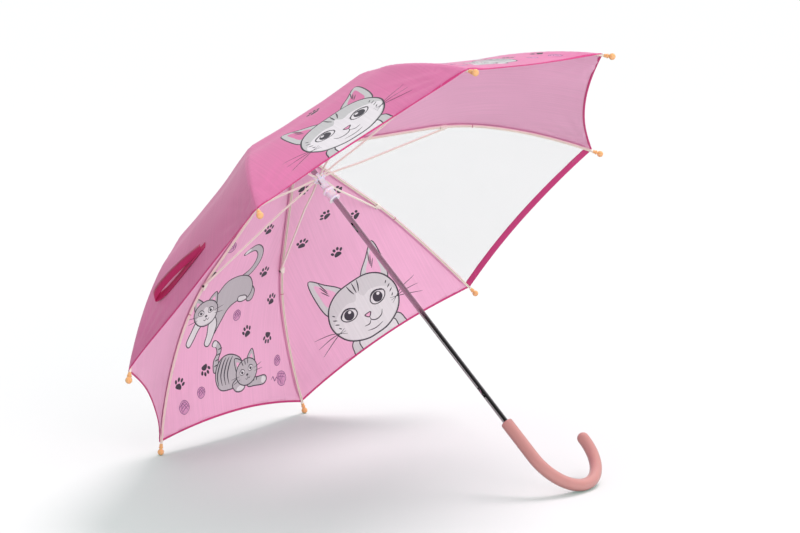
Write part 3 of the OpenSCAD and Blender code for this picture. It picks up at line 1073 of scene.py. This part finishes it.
def addTie(k):
    # the thread that holds the seam to the rib
    bpy.ops.object.select_all(action="DESELECT")
    bpy.ops.mesh.primitive_torus_add(major_radius=tie["ring"] * mm, minor_radius=tie["thread"] * mm,
                                     major_segments=24, minor_segments=8)
    piece = bpy.context.object
    piece.name = f"thread_tie_{k}"
    bpy.ops.object.shade_smooth()
    ahead = toRow(k, onRib(tie["at"] + 1, 0, 0)) - toRow(k, onRib(tie["at"], 0, 0))
    setInPlace(piece, toRow(k, onRib(tie["at"], 0, 0.25)), ahead)
    piece.data.materials.append(threadPink)
    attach(piece, f"rib_{k}")


# height over the crown pivots and radius
ferrule = [(9, 7.8), (9.2, 8.7), (9.9, 9), (10.8, 8.8), (11.3, 7.4), (11.9, 6.3), (13, 5.9), (18, 5.75),
           (18.3, 5.3), (18.9, 5.3), (19.2, 5.7), (28, 5.5), (32, 5.4), (34.4, 4.9), (36, 3.8), (36.8, 2.2),
           (37, 0.5)]


def addFerrule():
    piece = turned("ferrule_piece", ferrule, peachPlastic, 40)
    setInPlace(piece, crown, upShaft)
    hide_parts("ferrule_cap")
    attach(piece, "root")


rosette = {
    "outer": 17,
    "teeth": 36,
    "bite": 1.1,
    "hole": 3.8,
    "foot": 7.95,               # height over the crown pivots
    "droop": 0.03,
    "wave": 0.12,
    "thick": 0.35,
}


def addRosette():
    # a small cloth disc with a pinked edge between the cover and the ferrule
    around = rosette["teeth"] * 2
    rings = []
    for i in range(around):
        a = 2 * math.pi * i / around
        edge = rosette["outer"] - (rosette["bite"] if i % 2 else 0)
        section = []
        for lay in (1, -1):
            for r in np.linspace(rosette["hole"], edge, 6)[::lay]:
                wave = rosette["wave"] * math.sin(a * 8) * r / rosette["outer"]
                rise = rosette["foot"] - rosette["droop"] * (r - 4) + wave
                section.append((r * math.cos(a), r * math.sin(a), rise + lay * rosette["thick"] / 2))
        rings.append(toRow(1, section))
    points = np.array(rings).reshape(-1, 3)
    n = len(rings[0])
    faces = [
        (i * n + j, i * n + (j + 1) % n, (i + 1) % around * n + (j + 1) % n, (i + 1) % around * n + j)
        for i in range(around) for j in range(n)
    ]
    piece = addStrip("rosette_cloth", (points, faces), hemCloth, "cover_pink", smooth=False)
    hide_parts("rosette")
    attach(piece, "root")


snap = [(0, 3.2), (0.25, 4.0), (0.8, 4.1), (1.0, 3.6), (1.05, 2.3), (1.7, 2.1), (1.9, 1.6), (1.95, 0.3)]


def addSnap():
    piece = turned("snap_piece", snap, steelWire, 24)
    at = int(len(strapRings) * strap["snapAt"])
    ring = strapRings[at]
    middle, further = (Vector(r[3]) for r in strapRings[at:at + 2])
    face = (Vector(ring[5]) - Vector(ring[1])).cross(further - middle).normalized()
    if face.dot(Vector(ring[3]) - Vector(ring[7])) < 0:
        face = -face
    setInPlace(piece, middle, face)
    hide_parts("strap_snap")
    followPanel(piece, 7)
    shares = piece.data.attributes["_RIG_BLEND"].data
    shares.foreach_set("value", np.full(len(shares), shares[0].value, np.float32))


for k in range(1, ribCount + 1):
    addTip(k)
    addTie(k)
addFerrule()
addRosette()
addSnap()
print("small pieces made")

# studio
studio = {
    "floor": (0.66, 0.58, 0.61),
    "floorBounce": (0.5, 0.5, 0.5),     # how the floor lights other things
    "floorGlow": (0.02, 0.15, 0.11),    # evens out the pink light under the cover
    "floorLoss": 0.1,                   # taken off the floor where it is reflected
    "surroundings": (1.38, 0.52),       # brightest, and darkest
    "shadeSide": (-0.5, -0.4, -0.75),
    "backdropSide": (-0.8, 0.59, 0.1),  # bright in reflections; the room in front is dark
    "roomDarkness": 2.4,
    "lampAim": (0, 0, 0.25),
    "sun": {"from": (-0.1, 1.05, 1.75), "energy": 2.1, "angle": 26},
    "fill": {"from": (2.85, -1.45, 0.8), "energy": 50, "size": 2.0},
}


def addSurroundings():
    # white to the eye; as a light it falls off to one side; reflections see the dark room in front
    world = bpy.data.worlds.new("studio")
    world.use_nodes = True
    tree = world.node_tree
    seen = tree.nodes["Background"]
    feed(tree, seen, {"Color": (1, 1, 1, 1)})
    ways = tree.nodes.new("ShaderNodeTexCoord").outputs["Generated"]
    high, low = studio["surroundings"]
    shaded = vectorMath(tree, "DOT_PRODUCT", ways, studio["shadeSide"]).outputs["Value"]
    drop = mathNode(tree, "MULTIPLY", shaded, (high - low) / 2)
    level = mathNode(tree, "SUBTRACT", (high + low) / 2, drop)
    lit = feed(tree, tree.nodes.new("ShaderNodeBackground"), {"Strength": level})
    behind = vectorMath(tree, "DOT_PRODUCT", ways, studio["backdropSide"]).outputs["Value"]
    share = mathNode(tree, "ADD", mathNode(tree, "MULTIPLY", behind, 0.5), 0.5)
    dim = mathNode(tree, "POWER", share, studio["roomDarkness"])
    dimmed = mathNode(tree, "MULTIPLY", dim, level)
    reflected = feed(tree, tree.nodes.new("ShaderNodeBackground"), {"Strength": dimmed})
    rays = tree.nodes.new("ShaderNodeLightPath")
    before = lit
    for kind, after in (("Is Glossy Ray", reflected), ("Is Camera Ray", seen)):
        pick = tree.nodes.new("ShaderNodeMixShader")
        before = feed(tree, pick, {0: rays.outputs[kind], 1: before.outputs[0], 2: after.outputs[0]})
    feed(tree, tree.nodes["World Output"], {"Surface": before.outputs[0]})
    scene.world = world


def addLamp(name, kind):
    data = bpy.data.lights.new(name, kind)
    data.energy = studio[name]["energy"]
    lamp = bpy.data.objects.new(name, data)
    lamp.location = studio[name]["from"]
    lamp.rotation_euler = (Vector(studio["lampAim"]) - lamp.location).to_track_quat("-Z", "Y").to_euler()
    lamp.visible_glossy = False
    scene.collection.objects.link(lamp)
    return data


def addStudio():
    bpy.ops.mesh.primitive_plane_add(size=60)
    floor = bpy.context.object
    floor.name = "floor"
    material, tree, shader = startMaterial("paperFloor", 1.0)
    rays = tree.nodes.new("ShaderNodeLightPath")
    toCamera = rays.outputs["Is Camera Ray"]
    pick = tree.nodes.new("ShaderNodeMix")
    pick.data_type = "RGBA"
    feed(tree, pick, {"Factor": toCamera, "A": (*studio["floorBounce"], 1), "B": (*studio["floor"], 1)})
    loss = mathNode(tree, "MULTIPLY", rays.outputs["Is Glossy Ray"], studio["floorLoss"])
    inMirrors = mathNode(tree, "SUBTRACT", 1, loss)
    feed(tree, shader, {
        "Base Color": toned(tree, pick.outputs["Result"], inMirrors),
        "Specular IOR Level": 0,
        "Emission Color": (*studio["floorGlow"], 1),
        "Emission Strength": toCamera,
    })
    floor.data.materials.append(material)
    addSurroundings()
    addLamp("sun", "SUN").angle = math.radians(studio["sun"]["angle"])
    addLamp("fill", "AREA").size = studio["fill"]["size"]


addStudio()
scene.view_settings.view_transform = "Standard"
print("studio lit")
